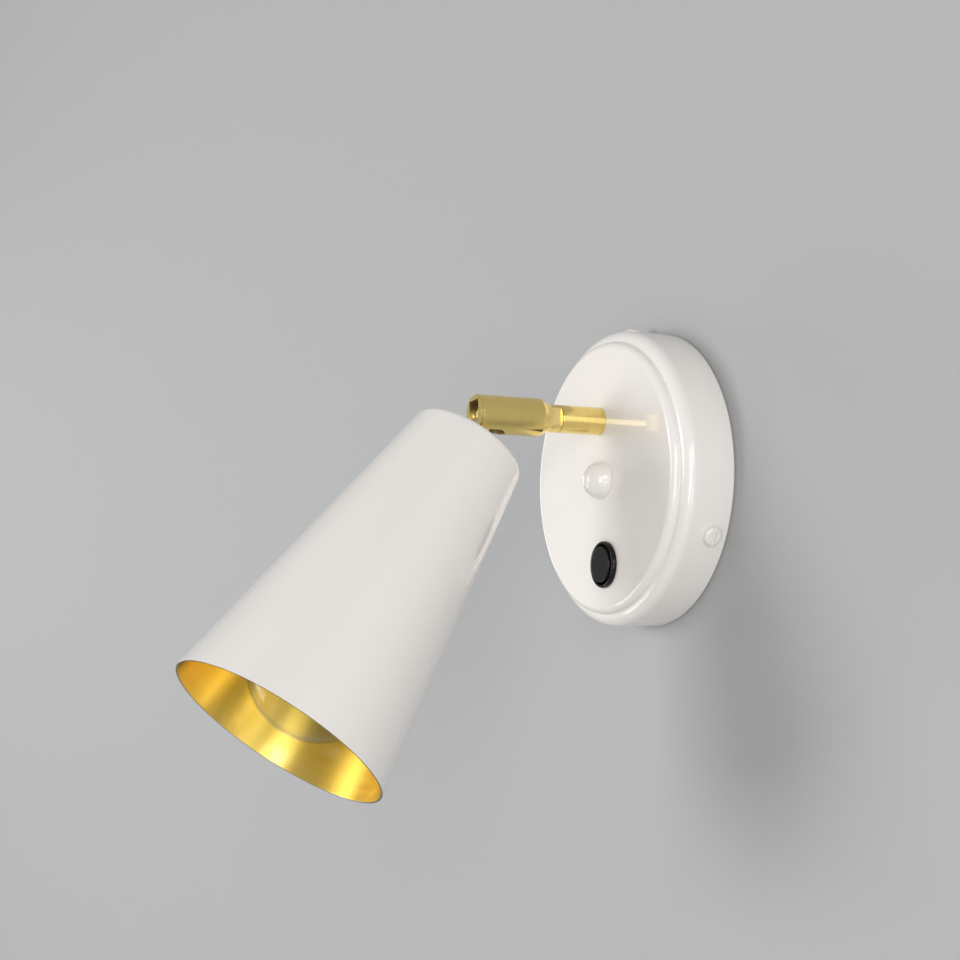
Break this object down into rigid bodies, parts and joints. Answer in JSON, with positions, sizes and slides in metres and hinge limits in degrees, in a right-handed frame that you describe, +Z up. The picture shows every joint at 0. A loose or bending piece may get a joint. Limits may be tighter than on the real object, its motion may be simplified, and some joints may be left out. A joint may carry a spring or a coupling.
{
  "type": "cone wall light",
  "caption": "Wall light with a round stepped canopy, push-button switch, brass arm that turns and tilts, and a white cone shade lined in brass.",
  "frame": {"origin": "centre of the canopy on the wall, which is the middle of the two slots for the wall screws", "axes": "the wall is the plane Y = 0; -Y points out of the wall into the room; +Z is up; +X is to the right for someone who faces the wall"},
  "size_m": [0.127, 0.2136, 0.2015],
  "materials": {
    "canopy_paint": "gloss enamel",
    "shade_paint": "gloss enamel outside, brushed brass inside",
    "polished_brass": "polished and lacquered",
    "plain_brass": "turned, unpolished",
    "plated_steel": "zinc plated",
    "green_steel": "dyed green",
    "black_plastic": "gloss",
    "orange_plastic": "satin",
    "black_insulation": "satin",
    "white_insulation": "satin",
    "green_insulation": "satin",
    "porcelain": "glazed",
    "bulb_glass": "clear",
    "bulb_black_glass": "gloss",
    "filament_coating": "matt"
  },
  "bodies": {
    "wall_base": {"mounting_bracket": "plated_steel", "ground_screw": "green_steel", "ground_wire": "green_insulation", "wire_connectors": "orange_plastic", "canopy": "canopy_paint", "side_screws": "canopy_paint", "dome_cap": "canopy_paint", "dome_nut": "plated_steel", "switch_body": "black_plastic", "switch_nut": "black_plastic", "switch_terminals": "plain_brass", "switch_contact": "plain_brass", "switch_spring": "plated_steel", "live_lead": "black_insulation", "switch_lead": "black_insulation", "neutral_lead": "white_insulation", "stem": "polished_brass", "stem_nipple": "plated_steel", "stem_washer": "plated_steel", "stem_nut": "plated_steel"},
    "button": {"push_button": "black_plastic"},
    "swivel": {"swivel_barrel": "polished_brass", "swivel_washer": "plain_brass", "swivel_nut": "plain_brass", "swivel_wires": "white_insulation", "tilt_screw": "polished_brass"},
    "head": {"tilt_tongue": "polished_brass", "shade": "shade_paint", "shade_washer": "plated_steel", "shade_nut": "plated_steel", "head_wires": "white_insulation", "holder_cap": "porcelain", "holder_body": "porcelain", "holder_shell": "plain_brass", "holder_contact": "plain_brass", "holder_terminals": "plain_brass", "bulb_base": "plated_steel", "bulb_insulator": "bulb_black_glass", "bulb_contact": "plated_steel", "bulb_glass": "bulb_glass", "bulb_stem": "bulb_glass", "filament_supports": "plated_steel", "filaments": "filament_coating"}
  },
  "joints": [
    {"name": "button_press", "type": "slide", "parent": "wall_base", "child": "button", "axis": [0, 1, 0], "range_m": [0, 0.0025], "stiffness_N_per_m": 800, "springref_m": -0.001, "deforming": ["switch_spring"]},
    {"name": "arm_turn", "type": "hinge", "parent": "wall_base", "child": "swivel", "pos_m": [0, -0.0465, 0.0245], "axis": [0, -1, 0], "range_deg": [-170, 170]},
    {"name": "head_tilt", "type": "hinge", "parent": "swivel", "child": "head", "pos_m": [0, -0.0789, 0.0245], "axis": [-1, 0, 0], "range_deg": [-36.17, 53.83]}
  ]
}
